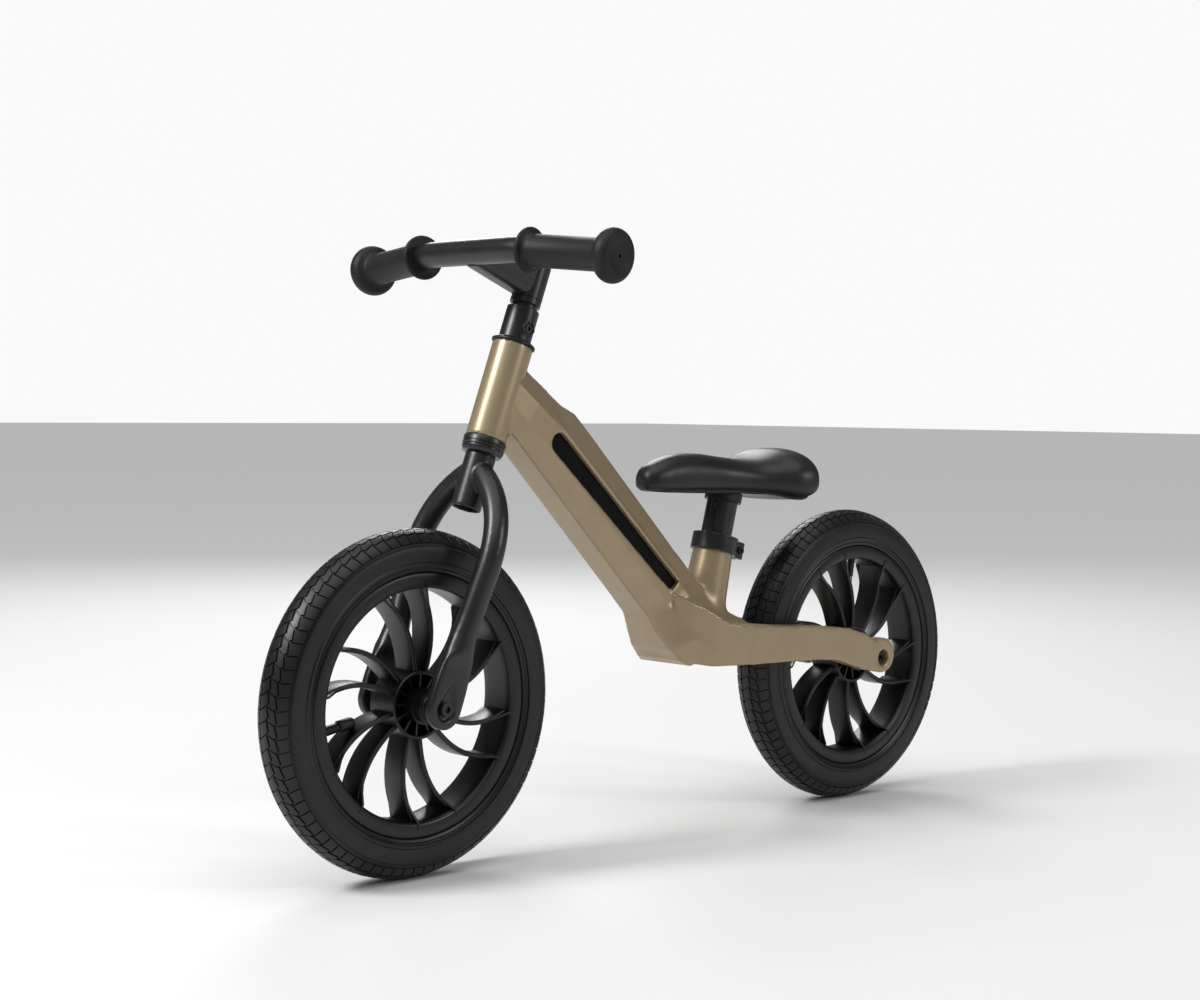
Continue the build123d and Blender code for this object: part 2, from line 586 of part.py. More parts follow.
def make_wheel(prefix, centre, pair_angle, valve_angle):
    section = Plane(origin=centre, x_dir=(0, 1, 0), z_dir=(1, 0, 0))
    face = Plane(origin=centre, x_dir=(-1, 0, 0), z_dir=(0, 1, 0))
    spin = Axis(tuple(centre), (0, 1, 0))
    valve_way = Vector(-cos(radians(valve_angle)), 0, sin(radians(valve_angle)))

    with BuildPart() as tyre:
        with BuildSketch(section):
            with BuildLine():
                tyre_outline()
            make_face()
        revolve(axis=spin)
    save(tyre, f"{prefix}_tyre")

    with BuildPart() as inner_tube:
        with BuildSketch(section):
            with Locations((0, inner_tube_centre)):
                Circle(inner_tube_radius)
                Circle(inner_tube_radius - 1.5, mode=Mode.SUBTRACT)
        revolve(axis=spin)
    save(inner_tube, f"{prefix}_inner_tube")

    with BuildPart() as rim:
        with BuildSketch(section):
            half = [(rim_half_width, rim_flange_radius), (15.0, rim_flange_radius),
                    (15.0, rim_bead_radius), (9.0, rim_bead_radius), (7.5, 99.0)]
            low = [(rim_half_width, 99.5), (rim_inner_half_width, rim_inner_radius)]
            Polygon(*half, *[(-y, r) for y, r in reversed(half)], *[(-y, r) for y, r in low],
                    *reversed(low), align=None)
        revolve(axis=spin)
        with BuildSketch(Plane(origin=centre + valve_way * (rim_inner_radius - 6), z_dir=valve_way)):
            Circle(valve_radius)
        extrude(amount=14, mode=Mode.SUBTRACT)
    save(rim, f"{prefix}_rim")

    with BuildPart() as hub:
        shell = hub_radius - 3.0
        with BuildSketch(section):
            for y0, y1, r0, r1 in ((-hub_half_width, hub_half_width, shell, hub_radius),
                                   (-3.0, 3.0, boss_radius - 1, shell + 1),
                                   (-boss_half_width, boss_half_width, 8.5, boss_radius)):
                Polygon((y0, r0), (y1, r0), (y1, r1), (y0, r1), align=None)
        revolve(axis=spin)
        with BuildSketch(face.offset(-hub_half_width + 4)):
            with PolarLocations((boss_radius + shell) / 2, 2 * spoke_pairs):
                Rectangle(shell - boss_radius + 1, 1.8)
        extrude(amount=2 * hub_half_width - 8)
        for y0 in (-boss_half_width, boss_half_width - wheel_bearing_width):
            with BuildSketch(face.offset(y0)):
                Circle(wheel_bearing_radius)
            extrude(amount=wheel_bearing_width, mode=Mode.SUBTRACT)
    save(hub, f"{prefix}_hub")

    with BuildPart() as spokes:
        spoke_radii = [hub_radius - 1.5, 38, 50, 62, 74, 86, rim_inner_radius + 1.0]
        with BuildSketch(face.offset(-spoke_half_width)):
            for pair in range(spoke_pairs):
                for side in (1, -1):
                    middle = pair_angle + 360 / spoke_pairs * pair + side * spoke_spread
                    edges = [[spoke_point(r, middle, offset * spoke_thickness / 2)
                              for r in spoke_radii] for offset in (1, -1)]
                    with BuildLine():
                        Spline(*edges[0])
                        Spline(*edges[1])
                        Line(edges[0][0], edges[1][0])
                        Line(edges[0][-1], edges[1][-1])
                    make_face()
        extrude(amount=2 * spoke_half_width)
        with BuildSketch(face.offset(-spoke_half_width)):
            Circle(rim_inner_radius)
            Circle(hub_radius, mode=Mode.SUBTRACT)
        extrude(amount=2 * spoke_half_width, mode=Mode.INTERSECT)
    save(spokes, f"{prefix}_spokes")

    with BuildPart() as wheel_bearings:
        for y0 in (-boss_half_width, boss_half_width - wheel_bearing_width):
            with BuildSketch(face.offset(y0)):
                Circle(wheel_bearing_radius)
                Circle(axle_radius + running_gap, mode=Mode.SUBTRACT)
            extrude(amount=wheel_bearing_width)
    save(wheel_bearings, f"{prefix}_wheel_bearings")

    with BuildPart() as hub_spacer:
        with BuildSketch(face.offset(-boss_half_width + wheel_bearing_width)):
            Circle(6.5)
            Circle(axle_radius + 0.5, mode=Mode.SUBTRACT)
        extrude(amount=2 * (boss_half_width - wheel_bearing_width))
    save(hub_spacer, f"{prefix}_hub_spacer")

    valve_plane = Plane(origin=centre + valve_way * valve_tip_radius, z_dir=valve_way)
    with BuildPart() as valve_stem:
        with BuildSketch(valve_plane.offset(2.0)):
            Circle(valve_radius - 0.6)
        extrude(amount=18.0)
        with BuildSketch(valve_plane.offset(20.0)):
            Circle(valve_radius)
        extrude(amount=inner_tube_centre - inner_tube_radius - valve_tip_radius - 20.4)
    save(valve_stem, f"{prefix}_valve_stem")

    with BuildPart() as valve_cap:
        with BuildSketch(valve_plane):
            Circle(valve_radius + 1.0)
        extrude(amount=13.0)
        chamfer(valve_cap.faces().sort_by(Axis(tuple(centre), tuple(valve_way)))[0].edges(), 1.0)
        with BuildSketch(valve_plane.offset(2.0)):
            Circle(valve_radius - 0.6)
        extrude(amount=18.0, mode=Mode.SUBTRACT)
    save(valve_cap, f"{prefix}_valve_cap")

    with BuildPart() as axle:
        with BuildSketch(face.offset(-over_locknut)):
            Circle(axle_radius)
            Circle(axle_bolt_radius, mode=Mode.SUBTRACT)
        extrude(amount=2 * over_locknut)
    save(axle, f"{prefix}_axle")

    with BuildPart() as axle_spacers:
        for y0 in (-over_locknut, boss_half_width + 0.3):
            with BuildSketch(face.offset(y0)):
                Circle(9.0)
                Circle(axle_radius, mode=Mode.SUBTRACT)
            extrude(amount=over_locknut - boss_half_width - 0.3)
    save(axle_spacers, f"{prefix}_axle_spacers")


def make_axle_bolts(prefix, centre, seat_face):
    """Pair of axle bolts whose heads bear on the recess floors, seat_face from the middle."""
    with BuildPart() as axle_bolts:
        for side in (1, -1):
            bolt_plane = Plane(origin=centre + Vector(0, side * seat_face, 0), z_dir=(0, side, 0))
            with BuildSketch(bolt_plane.offset(-seat_face + over_locknut - 20.0)):
                Circle(axle_bolt_radius)
            extrude(amount=seat_face - over_locknut + 20.0)
            with BuildSketch(bolt_plane):
                Circle(axle_bolt_head)
                RegularPolygon(3.0, 6, mode=Mode.SUBTRACT)
            extrude(amount=3.4)
            with BuildSketch(bolt_plane):
                RegularPolygon(3.2, 6)
            extrude(amount=1.2)
    save(axle_bolts, f"{prefix}_axle_bolts")


make_wheel("front", front_axle_point, front_pair_angle, front_valve_angle)
make_wheel("rear", rear_axle_point, rear_pair_angle, rear_valve_angle)
make_axle_bolts("front", front_axle_point, fork_tip_face - tip_recess_depth)
make_axle_bolts("rear", rear_axle_point, dropout_face - dropout_recess_depth)
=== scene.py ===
import json
import math
import bpy
import numpy as np
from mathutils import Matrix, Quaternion, Vector


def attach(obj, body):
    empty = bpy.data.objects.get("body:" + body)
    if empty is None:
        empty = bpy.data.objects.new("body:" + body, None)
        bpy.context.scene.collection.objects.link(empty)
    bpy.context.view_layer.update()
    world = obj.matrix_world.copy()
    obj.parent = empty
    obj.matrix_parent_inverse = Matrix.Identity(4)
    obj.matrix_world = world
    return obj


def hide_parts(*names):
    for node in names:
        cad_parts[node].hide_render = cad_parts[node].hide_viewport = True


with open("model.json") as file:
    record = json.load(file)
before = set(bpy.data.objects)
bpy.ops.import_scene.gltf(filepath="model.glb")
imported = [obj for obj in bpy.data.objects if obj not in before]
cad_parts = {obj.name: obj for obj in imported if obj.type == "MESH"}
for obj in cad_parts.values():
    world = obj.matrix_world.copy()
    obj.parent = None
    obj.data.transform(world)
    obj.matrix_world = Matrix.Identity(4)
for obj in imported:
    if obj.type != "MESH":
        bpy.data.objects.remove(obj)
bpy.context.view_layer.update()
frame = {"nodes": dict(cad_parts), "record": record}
nodes = frame["nodes"]
print("frame loaded:", len(nodes), "nodes")

# Lengths below are millimetres; pieces are written in metres. X forward, Y to the rider's left, Z up.
millimetre = 0.001
frontAxle = np.array([279.5, 0.0, 145.5])
rearAxle = np.array([-279.5, 0.0, 145.5])
steerTilt = math.radians(20.5)
steerUp = np.array([-math.sin(steerTilt), 0.0, math.cos(steerTilt)])
steerAhead = np.array([math.cos(steerTilt), 0.0, math.sin(steerTilt)])
sideways = np.array([0.0, 1.0, 0.0])
seatTilt = math.radians(15.0)
seatUp = np.array([-math.sin(seatTilt), 0.0, math.cos(seatTilt)])
seatFoot = np.array([-89.0, 0.0, 264.0])


# Point on the steering axis, height above the front axle.
def steerPoint(height):
    return frontAxle + steerUp * height


# Quads of a grid of points: point (i, j) is joined to (i + 1, j) and (i, j + 1), round again where it closes.
def gridQuads(rows, columns, closeRows, closeColumns):
    i, j = np.meshgrid(np.arange(rows if closeRows else rows - 1),
                       np.arange(columns if closeColumns else columns - 1), indexing="ij")
    nextI, nextJ = (i + 1) % rows, (j + 1) % columns
    corners = [i * columns + j, i * columns + nextJ, nextI * columns + nextJ, nextI * columns + j]
    return np.stack(corners, axis=-1).reshape(-1, 4)


# A body from a stack of closed rings, (rings, points, 3), with a fan of triangles over each end.
def stackedRings(rings):
    count, around = rings.shape[:2]
    ring, after = np.arange(around), (np.arange(around) + 1) % around
    start = np.stack([np.full(around, count * around), after, ring], axis=1)
    end = np.stack([np.full(around, count * around + 1), (count - 1) * around + ring,
                    (count - 1) * around + after], axis=1)
    points = np.vstack([rings.reshape(-1, 3), rings[[0, -1]].mean(axis=1)])
    return points, gridQuads(count, around, False, True), np.vstack([start, end])


# A ring-shaped body: a closed profile of (along, radius) turned once about an axis.
def turnedRing(profile, origin, axis, steps):
    axis = np.asarray(axis, float)
    first = np.cross(axis, [0.0, 0.0, 1.0] if abs(axis[2]) < 0.9 else [0.0, 1.0, 0.0])
    first /= np.linalg.norm(first)
    second = np.cross(axis, first)
    angle = np.linspace(0, 2 * math.pi, steps, endpoint=False)[:, None, None]
    along, radius = np.array(profile, float)[None, :, 0, None], np.array(profile, float)[None, :, 1, None]
    points = origin + along * axis + radius * (np.cos(angle) * first + np.sin(angle) * second)
    return points.reshape(-1, 3), gridQuads(steps, len(profile), True, True), np.zeros((0, 3), int)


# Volume inside a closed surface, a sum of the tetrahedra from the origin to its triangles.
def signedVolume(points, quads, triangles):
    cut = np.vstack([quads[:, [0, 1, 2]], quads[:, [0, 2, 3]], triangles])
    a, b, c = points[cut[:, 0]], points[cut[:, 1]], points[cut[:, 2]]
    return np.einsum("ij,ij->", a, np.cross(b, c)) / 6


# One mesh out of several closed bodies, each turned to face outwards.
def joinedMesh(name, bodies):
    points, faces, offset = [], [], 0
    for bodyPoints, quads, triangles in bodies:
        if signedVolume(bodyPoints, quads, triangles) < 0:
            quads, triangles = quads[:, ::-1], triangles[:, ::-1]
        points.append(bodyPoints)
        faces += (quads + offset).tolist() + (triangles + offset).tolist()
        offset += len(bodyPoints)
    mesh = bpy.data.meshes.new(name)
    mesh.from_pydata((np.vstack(points) * millimetre).tolist(), [], faces)
    return mesh


# One object out of several closed bodies, riding on a body of the frame; crease is the angle of a sharp edge.
def addPiece(name, bodies, rider, finish, standsFor=(), crease=38):
    mesh = joinedMesh(name, bodies)
    mesh.polygons.foreach_set("use_smooth", np.ones(len(mesh.polygons), bool))
    mesh.set_sharp_from_angle(angle=math.radians(crease))
    mesh.materials.append(finish)
    piece = bpy.data.objects.new(name, mesh)
    bpy.context.scene.collection.objects.link(piece)
    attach(piece, rider)
    if standsFor:
        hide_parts(*standsFor)
    print(name, len(mesh.polygons), "faces")
    return piece


# Catmull-Rom curve through the rows of points, with its knots at their distances.
def smoothCurve(points, count):
    points = np.array(points, float)
    knots = np.concatenate([[0], np.cumsum(np.linalg.norm(np.diff(points, axis=0), axis=1))])
    slopes = np.gradient(points, knots, axis=0)
    at = np.linspace(0, knots[-1], count)
    k = np.clip(np.searchsorted(knots, at, side="right") - 1, 0, len(knots) - 2)
    span = (knots[k + 1] - knots[k])[:, None]
    t = (at - knots[k])[:, None] / span
    return ((2 * t**3 - 3 * t**2 + 1) * points[k] + (t**3 - 2 * t**2 + t) * span * slopes[k]
            + (3 * t**2 - 2 * t**3) * points[k + 1] + (t**3 - t**2) * span * slopes[k + 1])


# Smooth step from 0 at low to 1 at high.
def smoothStep(low, high, value):
    t = np.clip((value - low) / (high - low), 0, 1)
    return t * t * (3 - 2 * t)


# Outline of a rectangle with round corners, as (across, up) rows; corners are quarter circles.
def roundedOutline(halfAcross, halfUp, radius, perCorner=4):
    turn = np.linspace(0, math.pi / 2, perCorner)
    rows = []
    for quarter, (sx, sy) in enumerate(((1, 1), (-1, 1), (-1, -1), (1, -1))):
        angle = turn + quarter * math.pi / 2
        rows.append(np.stack([sx * (halfAcross - radius) + radius * np.cos(angle),
                              sy * (halfUp - radius) + radius * np.sin(angle)], axis=1))
    return np.vstack(rows)


# For each point, the middle of the points that its edges lead to.
def neighbourMiddle(points, edges):
    count = np.maximum(np.bincount(edges.ravel(), minlength=len(points)), 1)[:, None]
    total = np.stack([np.bincount(edges[:, 0], points[edges[:, 1], axis], len(points))
                      + np.bincount(edges[:, 1], points[edges[:, 0], axis], len(points))
                      for axis in range(3)], axis=1)
    return total / count


smoothingSteps = (0.5, -0.42)  # shares of the way to the neighbours' middle: there, and a little less back


# One smooth skin over closed bodies: a fine even remesh, then rounds that move each point towards its
# neighbours' middle and then a little back, so that the whole doesn't shrink.
def castSkin(bodies, voxel, rounds):
    source = bpy.data.objects.new("remeshSource", joinedMesh("remeshSource", bodies))
    bpy.context.scene.collection.objects.link(source)
    remesh = source.modifiers.new("remesh", "REMESH")
    remesh.mode = "VOXEL"
    remesh.voxel_size = voxel * millimetre
    made = bpy.data.meshes.new_from_object(source.evaluated_get(bpy.context.evaluated_depsgraph_get()))
    skin = np.zeros(len(made.vertices) * 3)
    made.vertices.foreach_get("co", skin)
    skin = skin.reshape(-1, 3) / millimetre
    edges = np.zeros(len(made.edges) * 2, int)
    made.edges.foreach_get("vertices", edges)
    edges = edges.reshape(-1, 2)
    quads = np.array([list(face.vertices) for face in made.polygons if len(face.vertices) == 4])
    for share in smoothingSteps * rounds:
        skin = skin + share * (neighbourMiddle(skin, edges) - skin)
    bpy.data.objects.remove(source)
    return skin, quads, np.zeros((0, 3), int)


# The triangles of some CAD nodes, in millimetres, as one body.
def nodeBody(*names):
    points, triangles, offset = [], [], 0
    for name in names:
        mesh = nodes[name].data
        corners = np.zeros(len(mesh.vertices) * 3)
        mesh.vertices.foreach_get("co", corners)
        mesh.calc_loop_triangles()
        cut = np.zeros(len(mesh.loop_triangles) * 3, int)
        mesh.loop_triangles.foreach_get("vertices", cut)
        points.append(corners.reshape(-1, 3) / millimetre)
        triangles.append(cut.reshape(-1, 3) + offset)
        offset += len(mesh.vertices)
    return np.vstack(points), np.zeros((0, 4), int), np.vstack(triangles)


# Finishes: two close shades mixed by a slow noise, a roughness that wanders between two values, a fine bump.
finishLooks = {
    "frame_paint": {"shade": (0.335, 0.258, 0.156), "otherShade": (0.315, 0.242, 0.146), "metallic": 0.45,
                    "roughness": (0.34, 0.42), "specular": 0.5, "coat": 0.25, "grain": 900.0, "bump": 0.03},
    "black_panel": {"shade": (0.004, 0.004, 0.004), "otherShade": (0.006, 0.006, 0.006), "metallic": 0.0,
                    "roughness": (0.7, 0.8), "specular": 0.1, "coat": 0.0, "grain": 500.0, "bump": 0.02},
    "satin_black": {"shade": (0.008, 0.008, 0.0088), "otherShade": (0.011, 0.011, 0.012), "metallic": 0.0,
                    "roughness": (0.3, 0.38), "specular": 0.5, "coat": 0.0, "grain": 1300.0, "bump": 0.04},
    "black_plastic": {"shade": (0.006, 0.006, 0.0065), "otherShade": (0.009, 0.009, 0.0095), "metallic": 0.0,
                      "roughness": (0.42, 0.52), "specular": 0.35, "coat": 0.0, "grain": 1500.0, "bump": 0.05},
    "wheel_plastic": {"shade": (0.003, 0.003, 0.0033), "otherShade": (0.0045, 0.0045, 0.005), "metallic": 0.0,
                      "roughness": (0.3, 0.4), "specular": 0.4, "coat": 0.0, "grain": 1400.0, "bump": 0.06},
    "tyre_rubber": {"shade": (0.003, 0.003, 0.003), "otherShade": (0.0055, 0.0055, 0.0055), "metallic": 0.0,
                    "roughness": (0.34, 0.46), "specular": 0.4, "coat": 0.0, "grain": 700.0, "bump": 0.12},
    "tube_rubber": {"shade": (0.012, 0.012, 0.012), "otherShade": (0.016, 0.016, 0.016), "metallic": 0.0,
                    "roughness": (0.55, 0.65), "specular": 0.25, "coat": 0.0, "grain": 700.0, "bump": 0.05},
    "grip_rubber": {"shade": (0.006, 0.006, 0.0065), "otherShade": (0.009, 0.009, 0.0095), "metallic": 0.0,
                    "roughness": (0.48, 0.6), "specular": 0.3, "coat": 0.0, "grain": 1600.0, "bump": 0.12},
    "saddle_skin": {"shade": (0.006, 0.006, 0.0065), "otherShade": (0.009, 0.009, 0.0095), "metallic": 0.0,
                    "roughness": (0.36, 0.44), "specular": 0.4, "coat": 0.0, "grain": 2200.0, "bump": 0.06},
    "steel": {"shade": (0.5, 0.5, 0.51), "otherShade": (0.4, 0.4, 0.41), "metallic": 1.0,
              "roughness": (0.25, 0.4), "specular": 0.5, "coat": 0.0, "grain": 900.0, "bump": 0.03},
    "dark_steel": {"shade": (0.03, 0.03, 0.032), "otherShade": (0.05, 0.05, 0.05), "metallic": 0.8,
                   "roughness": (0.28, 0.42), "specular": 0.5, "coat": 0.0, "grain": 900.0, "bump": 0.04},
    "valve_metal": {"shade": (0.5, 0.47, 0.4), "otherShade": (0.4, 0.37, 0.31), "metallic": 1.0,
                    "roughness": (0.25, 0.38), "specular": 0.5, "coat": 0.0, "grain": 900.0, "bump": 0.03},
}
finishNoise = {"slowScale": 38.0, "slowDetail": 4.0, "stops": (0.4, 0.62), "fineDetail": 2.0,
               "bumpDistance": 0.0005, "coatRoughness": 0.25}


def makeFinish(name, look, noises=finishNoise):
    finish = bpy.data.materials.new(name)
    finish.use_nodes = True
    tree = finish.node_tree
    shader = tree.nodes["Principled BSDF"]
    shader.inputs["Metallic"].default_value = look["metallic"]
    shader.inputs["Coat Weight"].default_value = look["coat"]
    shader.inputs["Coat Roughness"].default_value = noises["coatRoughness"]
    shader.inputs["Specular IOR Level"].default_value = look["specular"]
    place = tree.nodes.new("ShaderNodeTexCoord")
    slow = tree.nodes.new("ShaderNodeTexNoise")
    slow.inputs["Scale"].default_value = noises["slowScale"]
    slow.inputs["Detail"].default_value = noises["slowDetail"]
    shades = tree.nodes.new("ShaderNodeValToRGB")
    for stop, shade, at in zip(shades.color_ramp.elements, (look["shade"], look["otherShade"]),
                               noises["stops"]):
        stop.color, stop.position = (*shade, 1.0), at
    gloss = tree.nodes.new("ShaderNodeMapRange")
    gloss.inputs["To Min"].default_value, gloss.inputs["To Max"].default_value = look["roughness"]
    fine = tree.nodes.new("ShaderNodeTexNoise")
    fine.inputs["Scale"].default_value = look["grain"]
    fine.inputs["Detail"].default_value = noises["fineDetail"]
    bump = tree.nodes.new("ShaderNodeBump")
    bump.inputs["Strength"].default_value = look["bump"]
    bump.inputs["Distance"].default_value = noises["bumpDistance"]
    for noise in (slow, fine):
        tree.links.new(place.outputs["Object"], noise.inputs["Vector"])
    tree.links.new(slow.outputs["Fac"], shades.inputs["Fac"])
    tree.links.new(shades.outputs["Color"], shader.inputs["Base Color"])
    tree.links.new(slow.outputs["Fac"], gloss.inputs["Value"])
    tree.links.new(gloss.outputs["Result"], shader.inputs["Roughness"])
    tree.links.new(fine.outputs["Fac"], bump.inputs["Height"])
    tree.links.new(bump.outputs["Normal"], shader.inputs["Normal"])
    return finish


finishes = {name: makeFinish(name, look) for name, look in finishLooks.items()}
for part in frame["record"]["subparts"]:
    mesh = nodes[part["node"]].data
    mesh.materials.clear()
    mesh.materials.append(finishes[part["material_slot"]])
print("finishes made:", len(finishes))

# Frame casting: the CAD solid's own faces under one skin, with its edges rounded, its inner corners filled
# as in a mould, and a ledge above the slot on each side. The bores, the slot and the hollow get no fillets.
castingLook = {"voxel": 1.5, "rounds": 3, "crease": 50, "filletRounds": 45, "filletShare": 0.8,
               "slotFoot": (-21.0, 0.0, 232.0), "slotAhead": (145.0, 0.0, 136.0), "slotLength": 198.8,
               "slotKeptAlong": (-14.0, 210.8), "slotKeptAbove": (-24.0, 6.0),
               "seatBoreClear": 18.8, "headBoreClear": 18.2, "axleBoreClear": 15.9,
               "hollowHalf": 10.5, "footTop": 228.0, "footAhead": -60.0,
               "ledgeDepth": 2.6, "ledgeStart": 3.2, "ledgeBank": 3.5, "ledgeRise": (2.0, 26.0),
               "ledgeSwing": 16.0, "swingBefore": 8.0, "swingLength": 46.0, "ledgeEnd": (1.15, 0.75),
               "ledgeAcross": (9.0, 12.0)}


# Distance of each point from the line through origin along way.
def lineDistance(points, origin, way):
    offset = points - origin
    return np.linalg.norm(offset - (offset @ way)[:, None] * way, axis=1)


# Fillets: each round a free point moves along its outward normal by a share of the step towards its
# neighbours' middle, where that step is outward, so inner corners fill up and outer edges stay.
def filletSkin(skin, quads, rounds, share, free):
    edges = np.vstack([quads[:, [0, 1]], quads[:, [1, 2]], quads[:, [2, 3]], quads[:, [3, 0]]])
    for _ in range(rounds):
        across = np.cross(skin[quads[:, 2]] - skin[quads[:, 0]], skin[quads[:, 3]] - skin[quads[:, 1]])
        normal = np.stack([np.bincount(quads.ravel(), np.repeat(across[:, axis], 4), len(skin))
                           for axis in range(3)], axis=1)
        normal /= np.maximum(np.linalg.norm(normal, axis=1), 1e-9)[:, None]
        outward = np.einsum("ij,ij->i", neighbourMiddle(skin, edges) - skin, normal)
        skin = skin + (share * free * np.maximum(outward, 0))[:, None] * normal
    return skin


# Ledge: above the line the side steps in by a smooth step. The line follows the slot's upper edge, then swings
# upwards as the square of the way past the slot's end, where the step runs out.
def ledgeStep(along, above, across, look):
    past = np.maximum(along - look["slotLength"] + look["swingBefore"], 0) / look["swingLength"]
    line = look["ledgeStart"] + look["ledgeSwing"] * past**2
    step = smoothStep(0, look["ledgeBank"], above - line) * smoothStep(*look["ledgeRise"], along)
    step *= smoothStep(*look["ledgeEnd"], past) * smoothStep(*look["ledgeAcross"], across)
    return look["ledgeDepth"] * step


def castingBody(look):
    skin, quads, triangles = castSkin([nodeBody("frame_casting")], look["voxel"], look["rounds"])
    if signedVolume(skin, quads, triangles) < 0:
        quads = quads[:, ::-1]
    slotAhead = np.array(look["slotAhead"]) / np.linalg.norm(look["slotAhead"])
    slotUp = np.array([-slotAhead[2], 0.0, slotAhead[0]])
    offset = skin - look["slotFoot"]
    along, above = offset @ slotAhead, offset @ slotUp
    (alongLow, alongHigh), (aboveLow, aboveHigh) = look["slotKeptAlong"], look["slotKeptAbove"]
    nearSlot = (along > alongLow) & (along < alongHigh) & (above > aboveLow) & (above < aboveHigh)
    offSeat = lineDistance(skin, seatFoot, seatUp) > look["seatBoreClear"]
    offHead = lineDistance(skin, frontAxle, steerUp) > look["headBoreClear"]
    offAxle = lineDistance(skin, rearAxle, sideways) > look["axleBoreClear"]
    offHollow = np.abs(skin[:, 1]) > look["hollowHalf"]
    foot = (skin[:, 2] < look["footTop"]) & (skin[:, 0] < look["footAhead"])
    free = offSeat & offAxle & (foot | (offHead & offHollow & ~nearSlot))
    skin = filletSkin(skin, quads, look["filletRounds"], look["filletShare"], free)
    skin[:, 1] -= np.sign(skin[:, 1]) * ledgeStep(along, above, np.abs(skin[:, 1]), look)
    return skin, quads, triangles


addPiece("frameCasting", [castingBody(castingLook)], "frame", finishes["frame_paint"],
         ["frame_casting"], castingLook["crease"])

# Tyres: blocks cut by cross grooves and zigzag long grooves, then a sidewall with raised rings.
tyreLook = {
    "centre": 123.0, "section": 22.5, "pitches": 80, "grooveDepth": 1.3, "treadEdge": 58.0, "zigzag": 2.8,
    "longGrooves": (-33, -13, 13, 33), "grooveFloor": 1.2, "grooveTop": 2.5,
    "treadLines": (-53.0, -47, -41, -26, -20, -5, 0, 5, 20, 26, 41, 47, 53),
    "pitchLines": (-0.06, -0.028, 0.028, 0.06, 0.2, 0.35, 0.5, 0.65, 0.8),
    "pitchCut": (0, 1, 1, 0, 0, 0, 0, 0, 0), "swingMiddle": 0.37, "swingHalf": 0.43,
    "swingHold": ((0, 0.4), (8, 0.8), (13, 1), (33, 1), (45, 0.5), (58, 0)),
    "crossBend": ((-58, 0.15), (-33, 0.0), (-13, 0.42), (13, -0.05), (33, 0.38), (58, 0.22)),
    "wall": ((59.5, -1.3), (62.5, -1.4), (63.5, -0.6), (67, -0.5), (68, -1.3), (71, -1.5), (82, -2.2),
             (93, -2.4), (102, -2.1), (104, -0.7), (109, -0.4), (111, -1.6), (116, -1.9), (118, -0.9),
             (124, -0.7), (126, -1.6), (129, -1.7)),
    "bead": ((14.9, 109.6), (14.9, 102.5), (11.0, 102.5)), "insideSection": 18.0, "insideTurn": 125.0,
    "insideLines": 12, "crease": 30}


# Tyre: radius = centre + s cos t and width = s sin t, where s is the section radius less the grooves' depth.
# Grid lines follow the grooves: each turns by the cross grooves' bend at its t, and t swings with the zigzag.
def tyreBody(axle, look):
    floors = [g + d for g in look["longGrooves"] for d in (-look["grooveFloor"], look["grooveFloor"])]
    banks = [g + d for g in look["longGrooves"] for d in (-look["grooveTop"], look["grooveTop"])]
    edge = look["treadEdge"]
    wallAngle, wallRise = np.array(look["wall"], float).T
    t = np.array(sorted([-edge, edge, *look["treadLines"], *floors, *banks, *wallAngle, *-wallAngle]))
    rise = np.interp(np.abs(t), [0, edge, *wallAngle], [0, 0, *wallRise])
    longCut = np.isin(t, floors).astype(float)
    local = np.array(look["pitchLines"])
    crossCut = np.tile(np.array(look["pitchCut"], float), look["pitches"])
    turn = (np.arange(look["pitches"])[:, None] + local).ravel()
    swing = np.tile((local - look["swingMiddle"]) / look["swingHalf"], look["pitches"])
    bend = np.interp(t, *np.array(look["crossBend"]).T)
    theta = 2 * math.pi / look["pitches"] * (turn[:, None] + bend)
    hold = np.interp(np.abs(t), *np.array(look["swingHold"]).T)
    section = np.radians(t + look["zigzag"] * swing[:, None] * hold)
    cut = np.maximum(longCut, crossCut[:, None] * (np.abs(t) <= edge))
    s = look["section"] + rise - look["grooveDepth"] * cut
    width, radius = s * np.sin(section), look["centre"] + s * np.cos(section)
    inside = np.radians(np.linspace(look["insideTurn"], -look["insideTurn"], look["insideLines"]))
    hidden = np.array([*look["bead"],
                       *zip(look["insideSection"] * np.sin(inside),
                            look["centre"] + look["insideSection"] * np.cos(inside)),
                       *[(-y, r) for y, r in reversed(look["bead"])]])
    spread = np.ones((len(turn), 1))
    width = np.hstack([width, spread * hidden[:, 0]])
    radius = np.hstack([radius, spread * hidden[:, 1]])
    theta = np.hstack([theta, theta[:, -1:] * np.ones(len(hidden))])
    points = axle + np.stack([-radius * np.cos(theta), width, radius * np.sin(theta)], axis=-1)
    return points.reshape(-1, 3), gridQuads(*theta.shape, True, True), np.zeros((0, 3), int)


